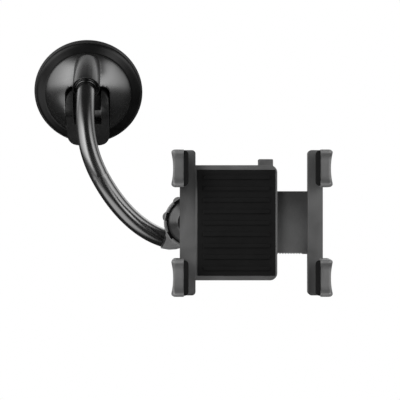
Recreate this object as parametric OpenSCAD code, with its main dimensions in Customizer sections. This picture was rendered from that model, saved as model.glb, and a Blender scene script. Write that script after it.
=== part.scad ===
// Car phone mount: suction base, bent gooseneck arm, ball joint and sprung phone clamp.
// Frame: origin at the centre of the suction face, +X right, +Z up, +Y away from the viewer.

/* [Base] */
// Lean of the suction face away from upright, degrees
base_lean = 22.8; // [0:0.2:45]
// Turn of the base about the vertical, degrees
base_turn = 2; // [-10:0.5:10]
// Radius of the rubber suction pad
pad_r = 32.8; // [28:0.2:40]
// Height that the pad's centre is drawn up when the lever is locked
pad_draw = 2; // [1:0.1:3]
// Radius of the hard ring on the pad
ring_r = 31.4; // [26:0.2:38]
// Radius of the domed cover at its foot
dome_r = 26; // [22:0.2:30]
// Height of the dome above its foot
dome_h = 15; // [10:0.5:20]
// Wall of the domed cover
dome_wall = 2.2; // [1.6:0.1:3]
// Radius of the arm's fairing on the dome
fairing_r = 8; // [7:0.1:9]

/* [Lever] */
// Inner half width of the lever fork
fork_in = 8.4; // [8:0.1:10]
// Outer half width of the lever fork
fork_out = 12.6; // [12:0.1:15]
// Reach of the finger tab below the pivot
lever_reach = 31.5; // [26:0.5:34]
// Height of the lever pivot above the suction face
pin_z = 18.5; // [16:0.1:20]
// Radius of the lever pin
pin_r = 1.5; // [1:0.1:2]
// Plunger travel between locked and free
cam_travel = 2.5; // [1:0.1:3]
// Lever swing from locked to free, degrees
lever_swing = 65; // [40:1:80]

/* [Arm] */
// Radius of the arm's sleeve
sleeve_r = 5.3; // [4:0.1:7]
// Radius of the steel core
core_r = 3.6; // [2:0.1:5]
// Gap between the core lengths at each bend
core_gap = 2.2; // [1.8:0.1:4]
// Height of the arm socket's mouth above the suction face
mouth_z = 34; // [30:0.5:38]
// Offset of the arm socket's mouth up the base
mouth_y = 13.4; // [10:0.2:16]
// Lean of the arm socket down from the base's own axis, degrees
mouth_lean = 21.2; // [10:0.2:35]
// Straight pull of the arm curve out of the socket
root_pull = 26.4; // [15:0.1:40]
// Place of the arm curve's middle, across
knee_x = 11.4; // [5:0.1:20]
// Place of the arm curve's middle, forward
knee_y = -62.4; // [-75:0.1:-50]
// Place of the arm curve's middle, up
knee_z = -53.5; // [-65:0.1:-40]
// Pull of the arm curve either side of its middle
knee_pull = 21.5; // [10:0.1:30]
// Pull of the arm curve into the head
head_pull = 13.8; // [8:0.1:25]

/* [Ball joint] */
// Place of the ball, across
ball_x = 62.8; // [50:0.1:75]
// Place of the ball, forward
ball_y = -78; // [-90:0.1:-65]
// Place of the ball, up
ball_z = -78.5; // [-90:0.1:-65]
// Radius of the ball
ball_r = 8.5; // [6:0.1:10]
// Radius of the ball's stem
stem_r = 2.8; // [2:0.1:3.5]
// Outer radius of the socket cup
cup_r = 12.6; // [11:0.1:14]
// Radius of the clamp nut's rim
nut_r = 15; // [14:0.1:17]
// Height of the nut's grip lobes
lobe_h = 1; // [0.5:0.1:2]

/* [Phone clamp] */
// Distance from the ball's axis to the middle of the phone
cradle_shift = 32.7; // [25:0.1:40]
// Width of the phone in the clamp
phone_w = 77; // [65:0.5:85]
// Thickness of the phone in the clamp
phone_t = 9; // [7:0.1:12]
// Height of each finger
finger_h = 20; // [14:0.5:26]
// Distance of the fingers above and below the middle
finger_z = 29.1; // [22:0.1:34]
// Half height of the clamp body
body_z = 31; // [26:0.5:36]
// Depth of the clamp body behind the cushion
body_t = 17; // [15:0.5:20]
// Lip over the phone's front edge
lip_w = 4.8; // [3:0.1:6]
// Closing travel of the sliding jaw
jaw_close = 16; // [5:1:16]
// Opening travel of the sliding jaw
jaw_open = 8; // [2:1:8]

/* [Fits] */
// Running clearance on each side of a sliding or turning fit
run_fit = 0.05; // [0.01:0.01:0.1]
// Clearance of pieces that never touch
free_gap = 0.4; // [0.3:0.05:0.8]

/* [Hidden] */
$fn = 64;
eps = 0.01;

// Base, in the base's own frame with z out of the suction face
pad_edge_t = 2.8;
pad_boss_z = 4.4;
pad_boss_r = 7;
seal_in_r = 20;
ring_top = 6.5;
ring_bore = 11;
flange_r = 10;
flange_t = 1.6;
deck_t = 2;
deck_top = ring_top + deck_t;
dome_sphere_r = (dome_r * dome_r + dome_h * dome_h) / (2 * dome_h);
dome_centre_z = ring_top + dome_h - dome_sphere_r;
well_side_gap = 0.8;
well_half = fork_out + well_side_gap;
well_corner = 5;
lever_corner = 6;
tab_corner = 7;
well_wall = 1.8;
rod_r = 4;
rod_z = 14;
head_half_x = fork_in - free_gap;
head_half_y = 4.6;
head_top = pin_z + 3.4;
base_screw_x = 19;
base_screw_y = 9;
base_screw_r = 1.3;
base_screw_head_r = 2.5;
base_screw_head_t = 1.5;
boss_r = 2.8;
boss_top = 12;

// Lever cams: the offset swings evenly about level, so the pin drops by the travel
cam_throw = cam_travel / (2 * sin(lever_swing / 2));
cam_phase = 90 - lever_swing / 2;
cam_gap = 0.15;
cam_r = pin_z - deck_top - cam_gap - cam_travel / 2;
cam_y = -cam_throw * sin(cam_phase);
cam_z = pin_z - cam_throw * cos(cam_phase);
lever_slot_y = -15;

// The well's rounded corner still clears the square edge that the cams bring up when free
corner_loss = well_corner - sqrt(pow(well_corner, 2) - pow(well_corner - well_side_gap, 2));
well_top_y = cam_y + cam_r + free_gap + corner_loss;

// Socket for the arm
fairing_back = [0, 18.6, 10];
fairing_lean = atan((fairing_back.y - mouth_y) / (mouth_z - fairing_back.z));
socket_r = fairing_r - 0.6;
socket_deep = 4;
core_deep = 14;
ferrule_r = socket_r - free_gap;
ferrule_recess = 1.2;

// Arm curve, in the row's frame
cos_b = cos(90 + base_lean);
sin_b = sin(90 + base_lean);
cos_t = cos(base_turn);
sin_t = sin(base_turn);
function spin(p) = [p.x * cos_t - p.y * sin_t, p.x * sin_t + p.y * cos_t, p.z];
function from_base(p) = spin([p.x, p.y * cos_b - p.z * sin_b, p.y * sin_b + p.z * cos_b]);
function unit(v) = v / norm(v);
function bez(p, t) = pow(1 - t, 3) * p[0] + 3 * pow(1 - t, 2) * t * p[1]
    + 3 * (1 - t) * t * t * p[2] + t * t * t * p[3];
function bez_way(p, t) = pow(1 - t, 2) * (p[1] - p[0]) + 2 * (1 - t) * t * (p[2] - p[1])
    + t * t * (p[3] - p[2]);
mouth = from_base([0, mouth_y, mouth_z]);
root_way = from_base([0, -sin(mouth_lean), cos(mouth_lean)]);
ball = [ball_x, ball_y, ball_z];
arm_end = ball + [-15.3, 22, -9.5];
head_way = unit([0.93, 0.22, -0.285]);
knee = [knee_x, knee_y, knee_z];
knee_way = unit([0.48, -0.06, -0.875]);
low_curve = [mouth, mouth + root_pull * root_way, knee - knee_pull * knee_way, knee];
high_curve = [knee, knee + knee_pull * knee_way, arm_end - head_pull * head_way, arm_end];
function arm_at(u) = u <= 1 ? bez(low_curve, u) : bez(high_curve, u - 1);
function arm_way(u) = unit(u <= 1 ? bez_way(low_curve, u) : bez_way(high_curve, u - 1));
arm_steps = 24;
sleeve_sides = 24;
core_sides = 16;
sleeve_bore = core_r + free_gap;
bend_low_u = 0.62;
bend_high_u = 1.5;
low_half = core_gap / 2 / 62;
high_half = core_gap / 2 / 50;
core_stub = 6;

// Elbow between the arm and the cup
elbow_r = 6.2;
elbow_out = [ball_x, ball_y + 12, ball_z - 1];
elbow_curve = [arm_end, arm_end + 11 * head_way, elbow_out + [0, 9, 0], elbow_out];
elbow_steps = 10;
elbow_dome_r = 11.6;
elbow_dome_h = 5.6;

// Ball joint, about the ball with y away from the viewer
cup_front = -1;
cup_back = 12;
liner_r = ball_r + 1.5;
liner_angle = 60;
cup_cavity = liner_r + run_fit;
nut_hole_r = 6.4;
nut_front = -8;
nut_cone_y = -3.5;
nut_face_y = -4;
nut_web_y = -1.3;
nut_back = 7;
nut_bore = cup_r + run_fit;
groove_r = 12.5;
groove_out = 13.2;
groove_y = -2.3;
lobes = 8;
lobe_r = 3;
pocket_in = groove_out - 0.4;
pocket_out = groove_out + 1.1;
pocket_half = 2.3;
pocket_deep = 1.5;
stem_end = -14;
stud_thread = 4.5;
collar_r = 5;
collar_t = 1.5;

// Phone clamp, about the middle of the phone's back with y away from the viewer
cradle = [ball_x + cradle_shift, ball_y - body_t + stem_end, ball_z];
cushion_t = 1.5;
front_t = 3.5;
split_y = cushion_t + front_t;
body_left = -37.5;
body_right = 14;
bar_in = 30.5;
bar_out = phone_w / 2;
rubber_t = 1.4;
finger_in = phone_w / 2 + rubber_t;
finger_bulge = finger_in + 3.1;
waist = 1.1;
waist_half = 8.2;
waist_r = (waist_half * waist_half + waist * waist) / (2 * waist);
finger_round = 2;
lip_gap = 0.2;
lip_back = -phone_t - lip_gap;
lip_rubber_t = 1.2;
lip_front = lip_back - lip_rubber_t - 2.1;
plastic_lip = phone_w / 2 - 2.3;
rubber_lip = phone_w / 2 - lip_w;
cavity_left = -27;
wall = 2;
inner_z = body_z - wall;
rear_inner = body_t - wall;
tongue_z = 17;
tongue_front = 6;
tongue_back = 11;
tongue_left = -6;
ear_z = 23.6;
ear_w = 4;
spring_z = 20.4;
spring_r = 2;
wire_r = 0.4;
tooth = 1.5;
teeth = 16;
rail_z = 10;
rail_w = 3;
stud_x = -cradle_shift;
screw_r = 1.4;
screw_head_r = 2.5;
screw_head_t = 2;
shell_head_t = 1.2;
stud_pocket_r = 3.1;
stud_floor = rear_inner;
shell_screw_x = [-23.8, 0];
shell_screw_z = 26.4;
shell_boss_r = 2.5;
button_x = 8;
button_half = 4;
button_y0 = 6.6;
button_y1 = 14.4;
button_z0 = 27;
button_z1 = 34.4;
strap_half = 2;
strap_x = button_x;
corner_r = 4;
fixed_bar_in = -30;
grip_half = finger_h / 2 - 1.2;
teeth_start = 4.5;
tooth_half = tooth / 2 / sqrt(2);
strap_y0 = 11.6;
pawl_z = -tongue_z - free_gap;
pawl_foot = -21.5;
button_spring_y = 13;
button_spring_r = 1.4;

module base_frame() {
  rotate([0, 0, base_turn])
    rotate([90 + base_lean, 0, 0])
      children();
}

module mouth_frame() {
  base_frame()
    translate([0, mouth_y, mouth_z])
      rotate([mouth_lean, 0, 0])
        children();
}

// Turns z to point at the viewer's far side, so depth runs along +Y
module back_axis() {
  rotate([-90, 0, 0])
    children();
}

module block(x0, x1, y0, y1, z0, z1) {
  translate([x0, y0, z0])
    cube([x1 - x0, y1 - y0, z1 - z0]);
}

function ring_side(way, ref) = unit(cross(ref, way));
function ring(c, way, ref, r, n) = let (a = ring_side(way, ref), b = cross(way, a))
    [for (k = [0 : n - 1]) c + r * (cos(360 * k / n) * a + sin(360 * k / n) * b)];
function flat(lists) = [for (l = lists) for (p = l) p];
function skin(rows, n, first, out) = flat([for (i = [0 : rows - 2]) for (k = [0 : n - 1])
    let (a = first + i * n + k, b = first + i * n + (k + 1) % n, c = b + n, d = a + n)
    out ? [[a, d, c], [a, c, b]] : [[a, c, d], [a, b, c]]]);

// Solid rod along given points, directions and radii
module rod_sweep(pts, ways, radii, ref, n) {
  rows = len(pts);
  start_cap = [[for (k = [0 : n - 1]) k]];
  end_cap = [[for (k = [0 : n - 1]) (rows - 1) * n + n - 1 - k]];
  polyhedron(points = flat([for (i = [0 : rows - 1]) ring(pts[i], ways[i], ref, radii[i], n)]),
    faces = concat(skin(rows, n, 0, true), start_cap, end_cap));
}

// Hollow tube along given points and directions
module tube_sweep(pts, ways, out_r, in_r, ref, n) {
  rows = len(pts);
  inner = rows * n;
  last = (rows - 1) * n;
  outer_pts = flat([for (i = [0 : rows - 1]) ring(pts[i], ways[i], ref, out_r, n)]);
  inner_pts = flat([for (i = [0 : rows - 1]) ring(pts[i], ways[i], ref, in_r, n)]);
  start_ring = flat([for (k = [0 : n - 1]) let (j = (k + 1) % n)
      [[k, j, inner + j], [k, inner + j, inner + k]]]);
  end_ring = flat([for (k = [0 : n - 1]) let (j = (k + 1) % n)
      [[last + k, inner + last + j, last + j], [last + k, inner + last + k, inner + last + j]]]);
  polyhedron(points = concat(outer_pts, inner_pts),
    faces = concat(skin(rows, n, 0, true), skin(rows, n, inner, false), start_ring, end_ring));
}

// Coil spring along z
module coil(r, wire, length, turns, n = 8) {
  steps = turns * 14;
  pts = [for (i = [0 : steps]) let (a = 360 * turns * i / steps)
      [r * cos(a), r * sin(a), wire + (length - 2 * wire) * i / steps]];
  rise = (length - 2 * wire) / (turns * 2 * PI * r);
  ways = [for (i = [0 : steps]) let (a = 360 * turns * i / steps)
      unit([-sin(a), cos(a), rise])];
  rod_sweep(pts, ways, [for (i = [0 : steps]) wire], [0, 0, 1], n);
}

module suction_pad() {
  color([0.06, 0.06, 0.065])
    base_frame()
      rotate_extrude()
        polygon([[0, pad_draw], [flange_r, pad_draw], [seal_in_r, 0], [pad_r - 1.2, 0],
          [pad_r, 0.9], [pad_r, 1.7], [pad_r - 0.9, pad_edge_t], [12, pad_edge_t],
          [pad_boss_r, pad_boss_z], [0, pad_boss_z]]);
}

module base_ring() {
  color([0.1, 0.1, 0.105])
    base_frame()
      difference() {
        rotate_extrude()
          polygon([[ring_bore + 1, pad_edge_t], [ring_r - 0.3, pad_edge_t], [ring_r, pad_edge_t + 0.3],
            [ring_r, pad_edge_t + 1.1], [ring_r - 0.5, pad_edge_t + 1.6], [dome_r + 1, ring_top - 0.3],
            [dome_r + 0.4, ring_top], [ring_bore, ring_top], [ring_bore, 4]]);
        for (x = [-base_screw_x, base_screw_x], y = [-base_screw_y, base_screw_y])
          translate([x, y, 0]) {
            cylinder(r = base_screw_r + run_fit, h = ring_top + 1);
            translate([0, 0, -1])
              cylinder(r = base_screw_head_r + free_gap, h = pad_edge_t + base_screw_head_t + 1);
          }
      }
}

module base_screws() {
  color([0.6, 0.61, 0.63])
    base_frame()
      for (x = [-base_screw_x, base_screw_x], y = [-base_screw_y, base_screw_y])
        translate([x, y, pad_edge_t]) {
          cylinder(r = base_screw_head_r, h = base_screw_head_t, $fn = 32);
          cylinder(r = base_screw_r, h = deck_top - pad_edge_t, $fn = 32);
        }
}

module dome_cap(r) {
  intersection() {
    translate([0, 0, dome_centre_z])
      sphere(r = r);
    translate([0, 0, ring_top])
      cylinder(r = dome_r, h = dome_h + 1);
  }
}

module dome_cover() {
  color([0.2, 0.2, 0.21])
    base_frame()
      difference() {
        union() {
          difference() {
            dome_cap(dome_sphere_r);
            difference() {
              dome_cap(dome_sphere_r - dome_wall);
              cylinder(r = dome_r, h = deck_top);
              linear_extrude(height = dome_h * 2)
                plan_outline(well_half + well_wall, -2 * dome_r, well_top_y + well_wall, 1,
                  well_corner + well_wall);
              for (x = [-base_screw_x, base_screw_x], y = [-base_screw_y, base_screw_y])
                translate([x, y, 0])
                  cylinder(r = boss_r, h = boss_top);
            }
            translate([0, 0, deck_top])
              linear_extrude(height = dome_h * 2)
                plan_outline(well_half, -2 * dome_r, well_top_y, 1, well_corner);
          }
          intersection() {
            union() {
              translate(fairing_back)
                sphere(r = fairing_r);
              translate(fairing_back)
                rotate([fairing_lean, 0, 0])
                  cylinder(r = fairing_r, h = 40);
            }
            translate([0, mouth_y, mouth_z])
              rotate([mouth_lean, 0, 0])
                translate([0, 0, -40])
                  cylinder(r = 30, h = 40);
            block(-20, 20, 0, 40, ring_top, 60);
          }
        }
        translate([0, mouth_y, mouth_z])
          rotate([mouth_lean, 0, 0]) {
            translate([0, 0, -socket_deep])
              cylinder(r = socket_r, h = socket_deep + 1);
            translate([0, 0, -core_deep])
              cylinder(r = core_r + run_fit, h = core_deep + 1);
          }
        cylinder(r = rod_r + run_fit, h = deck_top + 1);
        for (x = [-base_screw_x, base_screw_x], y = [-base_screw_y, base_screw_y])
          translate([x, y, 0])
            cylinder(r = base_screw_r, h = deck_top, $fn = 32);
      }
}

module plunger() {
  color([0.12, 0.12, 0.125])
    base_frame()
      difference() {
        union() {
          translate([0, 0, pad_boss_z])
            cylinder(r = flange_r, h = flange_t);
          translate([0, 0, pad_boss_z])
            cylinder(r = rod_r, h = rod_z - pad_boss_z);
          block(-head_half_x, head_half_x, -head_half_y, head_half_y, rod_z - 2, head_top);
        }
        translate([0, 0, pin_z])
          rotate([0, 90, 0])
            cylinder(r = pin_r, h = 4 * fork_out, center = true, $fn = 32);
      }
}

module lever_pin() {
  color([0.6, 0.61, 0.63])
    base_frame()
      translate([0, 0, pin_z])
        rotate([0, 90, 0])
          cylinder(r = pin_r, h = 2 * fork_out - 0.6, center = true, $fn = 32);
}

// Outline seen along the base's axis, with the lever's tab downwards and its own corners
module plan_outline(half, low, high, low_r, high_r) {
  intersection() {
    translate([0, low + low_r])
      offset(r = low_r)
        translate([-half + low_r, 0])
          square([2 * (half - low_r), high - low]);
    translate([0, low])
      offset(r = high_r)
        translate([-half + high_r, -high_r])
          square([2 * (half - high_r), high - low]);
  }
}

// Side outline of the lever, with x along the base's y and y along its z
module lever_side() {
  polygon([[cam_y, cam_z - cam_r + 1], [-14, deck_top + 0.4], [-25, deck_top + 0.4],
    [-27.5, ring_top + 1.2], [-lever_reach + 1, ring_top + 1.2], [-lever_reach, ring_top + 2.2],
    [-lever_reach, ring_top + 3.4], [-lever_reach + 1.2, ring_top + 4.4], [-24, 13.4],
    [-16, 17.2], [-9.2, 22], [cam_y, cam_z]]);
}

module lever() {
  color([0.16, 0.16, 0.165])
    base_frame()
      difference() {
        intersection() {
          rotate([90, 0, 90])
            translate([0, 0, -fork_out]) {
              linear_extrude(height = 2 * fork_out)
                lever_side();
              translate([cam_y, cam_z, 0])
                cylinder(r = cam_r, h = 2 * fork_out);
            }
          linear_extrude(height = mouth_z)
            plan_outline(fork_out, -lever_reach, cam_y + cam_r, tab_corner, lever_corner);
        }
        block(-fork_in, fork_in, lever_slot_y, 20, 0, 40);
        translate([0, 0, pin_z])
          rotate([0, 90, 0])
            cylinder(r = pin_r + run_fit, h = 4 * fork_out, center = true, $fn = 32);
      }
}

module root_ferrule() {
  color([0.14, 0.14, 0.15])
    mouth_frame()
      difference() {
        translate([0, 0, -socket_deep])
          cylinder(r = ferrule_r, h = socket_deep + 0.6);
        translate([0, 0, -socket_deep - 1])
          cylinder(r = sleeve_r + run_fit, h = socket_deep + 3);
        translate([0, 0, 0.6 - ferrule_recess])
          cylinder(r1 = sleeve_r + run_fit, r2 = ferrule_r - 0.4, h = ferrule_recess + eps);
      }
}

module arm_core(u0, u1) {
  us = [for (i = [0 : arm_steps]) u0 + (u1 - u0) * i / arm_steps];
  rod_sweep([for (u = us) arm_at(u)], [for (u = us) arm_way(u)], [for (u = us) core_r],
    [0, 1, 0], core_sides);
}

module core_lower() {
  color([0.55, 0.56, 0.58]) {
    us = [for (i = [0 : arm_steps]) (bend_low_u - low_half) * i / arm_steps];
    rod_sweep(concat([mouth - (core_deep - 0.5) * root_way], [for (u = us) arm_at(u)]),
      concat([root_way], [for (u = us) arm_way(u)]),
      concat([core_r], [for (u = us) core_r]), [0, 1, 0], core_sides);
  }
}

module core_middle() {
  color([0.55, 0.56, 0.58])
    arm_core(bend_low_u + low_half, bend_high_u - high_half);
}

module core_upper() {
  color([0.55, 0.56, 0.58]) {
    us = [for (i = [0 : arm_steps]) bend_high_u + high_half + (2 - bend_high_u - high_half) * i / arm_steps];
    rod_sweep(concat([for (u = us) arm_at(u)], [arm_end + core_stub * head_way]),
      concat([for (u = us) arm_way(u)], [head_way]),
      concat([for (u = us) core_r], [core_r]), [0, 1, 0], core_sides);
  }
}

module arm_sleeve() {
  color([0.1, 0.1, 0.105]) {
    us = [for (i = [0 : 2 * arm_steps]) i / arm_steps];
    tube_sweep(concat([mouth - (socket_deep - 0.5) * root_way], [for (u = us) arm_at(u)]),
      concat([root_way], [for (u = us) arm_way(u)]), sleeve_r, sleeve_bore, [0, 1, 0], sleeve_sides);
  }
}

module head_elbow() {
  color([0.3, 0.3, 0.31])
    difference() {
      union() {
        ts = [for (i = [0 : elbow_steps]) i / elbow_steps];
        rod_sweep([for (t = ts) bez(elbow_curve, t)], [for (t = ts) unit(bez_way(elbow_curve, t))],
          [for (t = ts) elbow_r + 2 * t * t], [0, 0, 1], 32);
        translate([ball_x, ball_y + cup_back, ball_z])
          back_axis()
            rotate_extrude()
              polygon([[0, 0], [elbow_dome_r, 0], [elbow_dome_r - 0.6, 1.8],
                [elbow_dome_r - 2.6, 3.8], [elbow_dome_r - 5.4, 5], [0, elbow_dome_h]]);
      }
      translate(arm_end)
        rotate([0, acos(head_way.z), atan2(head_way.y, head_way.x)])
          translate([0, 0, -1])
            cylinder(r = core_r + run_fit, h = core_stub + 2, $fn = 32);
    }
}

module socket_cup() {
  color([0.28, 0.28, 0.29])
    translate(ball)
      back_axis()
        difference() {
          translate([0, 0, cup_front])
            cylinder(r = cup_r, h = cup_back - cup_front);
          translate([0, 0, cup_front - 1])
            cylinder(r = cup_cavity - 0.1, h = 1 - cup_front);
          sphere(r = cup_cavity);
        }
}

module friction_cup() {
  color([0.75, 0.74, 0.7])
    translate(ball)
      back_axis()
        difference() {
          sphere(r = liner_r);
          sphere(r = ball_r + run_fit);
          translate([0, 0, -2 * liner_r + liner_r * cos(liner_angle)])
            cylinder(r = 2 * liner_r, h = 2 * liner_r);
        }
}

module clamp_nut() {
  color([0.3, 0.3, 0.31])
    translate(ball)
      back_axis()
        difference() {
          union() {
            rotate_extrude()
              polygon([[0, nut_front], [nut_hole_r + 0.8, nut_front], [groove_r, nut_cone_y],
                [groove_r, groove_y], [groove_out, groove_y], [groove_out, nut_face_y + 0.4],
                [groove_out + 0.4, nut_face_y], [nut_r - 0.6, nut_face_y], [nut_r, nut_face_y + 0.6],
                [nut_r, nut_back - 0.6], [nut_r - 0.6, nut_back], [0, nut_back]]);
            for (k = [0 : lobes - 1])
              rotate([0, 0, 360 * (k + 0.28) / lobes])
                intersection() {
                  translate([nut_r + lobe_h - lobe_r, 0, nut_face_y + 0.3])
                    cylinder(r = lobe_r, h = nut_back - nut_face_y - 0.6, $fn = 32);
                  difference() {
                    translate([0, 0, nut_face_y])
                      cylinder(r = nut_r + lobe_h, h = nut_back - nut_face_y);
                    translate([0, 0, nut_face_y - 1])
                      cylinder(r = groove_out + 0.6, h = nut_back - nut_face_y + 2);
                  }
                }
          }
          translate([0, 0, nut_front - 1])
            cylinder(r = nut_hole_r, h = 20);
          sphere(r = ball_r + run_fit);
          translate([0, 0, nut_web_y])
            cylinder(r = nut_bore, h = 20);
          for (k = [0 : lobes - 1])
            rotate([0, 0, 360 * (k + 0.28) / lobes])
              block(pocket_in, pocket_out, -pocket_half, pocket_half, nut_face_y - 1, nut_face_y + pocket_deep);
        }
}

module ball_stud() {
  color([0.55, 0.56, 0.58])
    translate(ball)
      back_axis()
        difference() {
          union() {
            sphere(r = ball_r);
            translate([0, 0, stem_end])
              cylinder(r = stem_r, h = -stem_end);
            translate([0, 0, stem_end])
              cylinder(r = collar_r, h = collar_t);
          }
          translate([0, 0, stem_end - 1])
            cylinder(r = screw_r, h = stud_thread + 2, $fn = 32);
        }
}

module stud_screw() {
  color([0.6, 0.61, 0.63])
    translate(cradle)
      translate([stud_x, 0, 0])
        back_axis() {
          translate([0, 0, stud_floor - screw_head_t])
            cylinder(r = screw_head_r, h = screw_head_t, $fn = 32);
          translate([0, 0, stud_floor - 1])
            cylinder(r = screw_r, h = wall + stud_thread + 1, $fn = 32);
        }
}

module shell_screw_places() {
  for (x = shell_screw_x, z = [-shell_screw_z, shell_screw_z])
    translate([x, 0, z])
      children();
}

// Rounded outline of the clamp body, extruded between two depths
module body_slab(y0, y1) {
  back_axis()
    translate([(body_left + body_right) / 2, 0, y0])
      linear_extrude(height = y1 - y0)
        offset(r = corner_r)
          square([body_right - body_left - 2 * corner_r, 2 * (body_z - corner_r)], center = true);
}

module rear_shell() {
  color([0.15, 0.15, 0.155])
    translate(cradle)
      difference() {
        union() {
          difference() {
            body_slab(split_y, body_t);
            block(cavity_left, body_right - wall, split_y - 1, rear_inner, -inner_z, inner_z);
          }
          for (z = [-rail_z, rail_z])
            block(cavity_left - 1, body_right - wall + 0.5, tongue_back + run_fit, rear_inner + 0.5,
              z - rail_w / 2, z + rail_w / 2);
          shell_screw_places()
            back_axis()
              translate([0, 0, split_y])
                cylinder(r = shell_boss_r, h = body_t - split_y - 0.5);
        }
        block(strap_x - strap_half - free_gap, strap_x + strap_half + free_gap, strap_y0 - free_gap,
          rear_inner, -inner_z, inner_z);
        block(body_right - wall - 1, body_right + 1, tongue_front - run_fit, tongue_back + run_fit,
          -tongue_z - run_fit, tongue_z + run_fit);
        block(strap_x - button_half - free_gap, strap_x + button_half + free_gap,
          button_y0 - free_gap, button_y1 + free_gap, inner_z - 1, body_z + 1);
        translate([stud_x, 0, 0])
          back_axis() {
            translate([0, 0, split_y - 1])
              cylinder(r = stud_pocket_r, h = stud_floor - split_y + 1);
            translate([0, 0, split_y])
              cylinder(r = screw_r + run_fit, h = body_t, $fn = 32);
          }
        shell_screw_places()
          back_axis() {
            translate([0, 0, split_y - 1])
              cylinder(r = screw_r + run_fit, h = body_t, $fn = 32);
            translate([0, 0, body_t - shell_head_t])
              cylinder(r = screw_head_r + 0.1, h = shell_head_t + 1, $fn = 32);
          }
      }
}

module front_shell() {
  color([0.17, 0.17, 0.175])
    translate(cradle)
      difference() {
        body_slab(cushion_t, split_y);
        block(body_left - 1, fixed_bar_in, cushion_t - 1, split_y + 1, -body_z - 1, body_z + 1);
        shell_screw_places()
          back_axis()
            translate([0, 0, split_y - 2.4])
              cylinder(r = screw_r, h = 3, $fn = 32);
      }
}

module shell_screws() {
  color([0.6, 0.61, 0.63])
    translate(cradle)
      shell_screw_places()
        back_axis() {
          translate([0, 0, body_t - shell_head_t])
            cylinder(r = screw_head_r, h = shell_head_t, $fn = 32);
          translate([0, 0, split_y - 2.4])
            cylinder(r = screw_r, h = body_t - split_y + 2, $fn = 32);
        }
}

module cushion() {
  color([0.05, 0.05, 0.055])
    translate(cradle)
      back_axis()
        translate([(fixed_bar_in + body_right) / 2, 0, 0])
          linear_extrude(height = cushion_t)
            offset(r = corner_r)
              square([body_right - fixed_bar_in - 2 * corner_r - 3, 2 * (body_z - corner_r) - 4], center = true);
}

// Front outline of one finger on the right side, waisted on its outer edge
module finger_outline(inner) {
  difference() {
    translate([inner, -finger_h / 2])
      intersection() {
        square([finger_bulge - inner, finger_h]);
        translate([-finger_round, 0])
          offset(r = finger_round)
            translate([finger_round, finger_round])
              square([finger_bulge - inner - finger_round, finger_h - 2 * finger_round]);
      }
    translate([finger_bulge - waist + waist_r, 0])
      circle(r = waist_r, $fn = 128);
  }
}

module finger_slab(inner, y0, y1) {
  back_axis()
    translate([0, 0, y0])
      linear_extrude(height = y1 - y0)
        finger_outline(inner);
}

// One finger of the right side, at its own middle height
module finger() {
  finger_slab(finger_in, lip_front, split_y);
  finger_slab(plastic_lip, lip_front, lip_back - lip_rubber_t);
  finger_slab(bar_out - 2, cushion_t, split_y);
}

// One rubber grip of the right side, at its own middle height
module grip() {
  block(phone_w / 2, finger_in, lip_back - lip_rubber_t, 1, -grip_half, grip_half);
  block(rubber_lip, finger_in, lip_back - lip_rubber_t, lip_back, -grip_half, grip_half);
  block(rubber_lip, plastic_lip, lip_front + 0.5, lip_back - lip_rubber_t + eps, -grip_half, grip_half);
}

// Upright bar that carries the two fingers of the right side
module jaw_bar(inner, y0, y1) {
  back_axis()
    translate([(inner + bar_out) / 2, 0, y0])
      linear_extrude(height = y1 - y0)
        offset(r = finger_round)
          square([bar_out - inner - 2 * finger_round, 2 * (finger_z + finger_h / 2 - finger_round)], center = true);
}

module fixed_jaw() {
  color([0.22, 0.22, 0.225])
    translate(cradle)
      mirror([1, 0, 0]) {
        jaw_bar(-fixed_bar_in, cushion_t, split_y);
        for (z = [-finger_z, finger_z])
          translate([0, 0, z])
            finger();
      }
}

module fixed_grip_upper() {
  color([0.04, 0.04, 0.045])
    translate(cradle + [0, 0, finger_z])
      mirror([1, 0, 0])
        grip();
}

module fixed_grip_lower() {
  color([0.04, 0.04, 0.045])
    translate(cradle - [0, 0, finger_z])
      mirror([1, 0, 0])
        grip();
}

module sliding_jaw() {
  color([0.22, 0.22, 0.225])
    translate(cradle)
      difference() {
        union() {
          jaw_bar(bar_in, cushion_t, tongue_front + 3);
          for (z = [-finger_z, finger_z])
            translate([0, 0, z])
              finger();
          block(tongue_left, bar_out - 3, tongue_front, tongue_back, -tongue_z, tongue_z);
          block(tongue_left, tongue_left + ear_w, tongue_front, tongue_back, -ear_z, ear_z);
        }
        for (k = [0 : teeth - 1])
          translate([teeth_start + k * tooth, 0, -tongue_z])
            rotate([0, 45, 0])
              block(-tooth_half, tooth_half, tongue_front - 1, tongue_back + 1, -tooth_half, tooth_half);
      }
}

module sliding_grip_upper() {
  color([0.04, 0.04, 0.045])
    translate(cradle + [0, 0, finger_z])
      grip();
}

module sliding_grip_lower() {
  color([0.04, 0.04, 0.045])
    translate(cradle - [0, 0, finger_z])
      grip();
}

module jaw_springs() {
  color([0.62, 0.63, 0.65])
    translate(cradle)
      for (z = [-spring_z, spring_z])
        translate([cavity_left, (tongue_front + tongue_back) / 2, z])
          rotate([0, 90, 0])
            coil(spring_r, wire_r, tongue_left - cavity_left, 12);
}

module release_button() {
  color([0.2, 0.2, 0.205])
    translate(cradle) {
      block(strap_x - button_half, strap_x + button_half, button_y0, button_y1, button_z0, button_z1);
      block(strap_x - strap_half, strap_x + strap_half, strap_y0, button_y1, pawl_foot, button_z0 + 1);
      block(strap_x - strap_half, strap_x + strap_half, tongue_front + free_gap, strap_y0 + 1, pawl_foot, pawl_z);
    }
}

module button_spring() {
  color([0.62, 0.63, 0.65])
    translate(cradle)
      translate([strap_x, button_spring_y, -inner_z])
        coil(button_spring_r, wire_r, pawl_foot + inner_z, 5);
}

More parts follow.
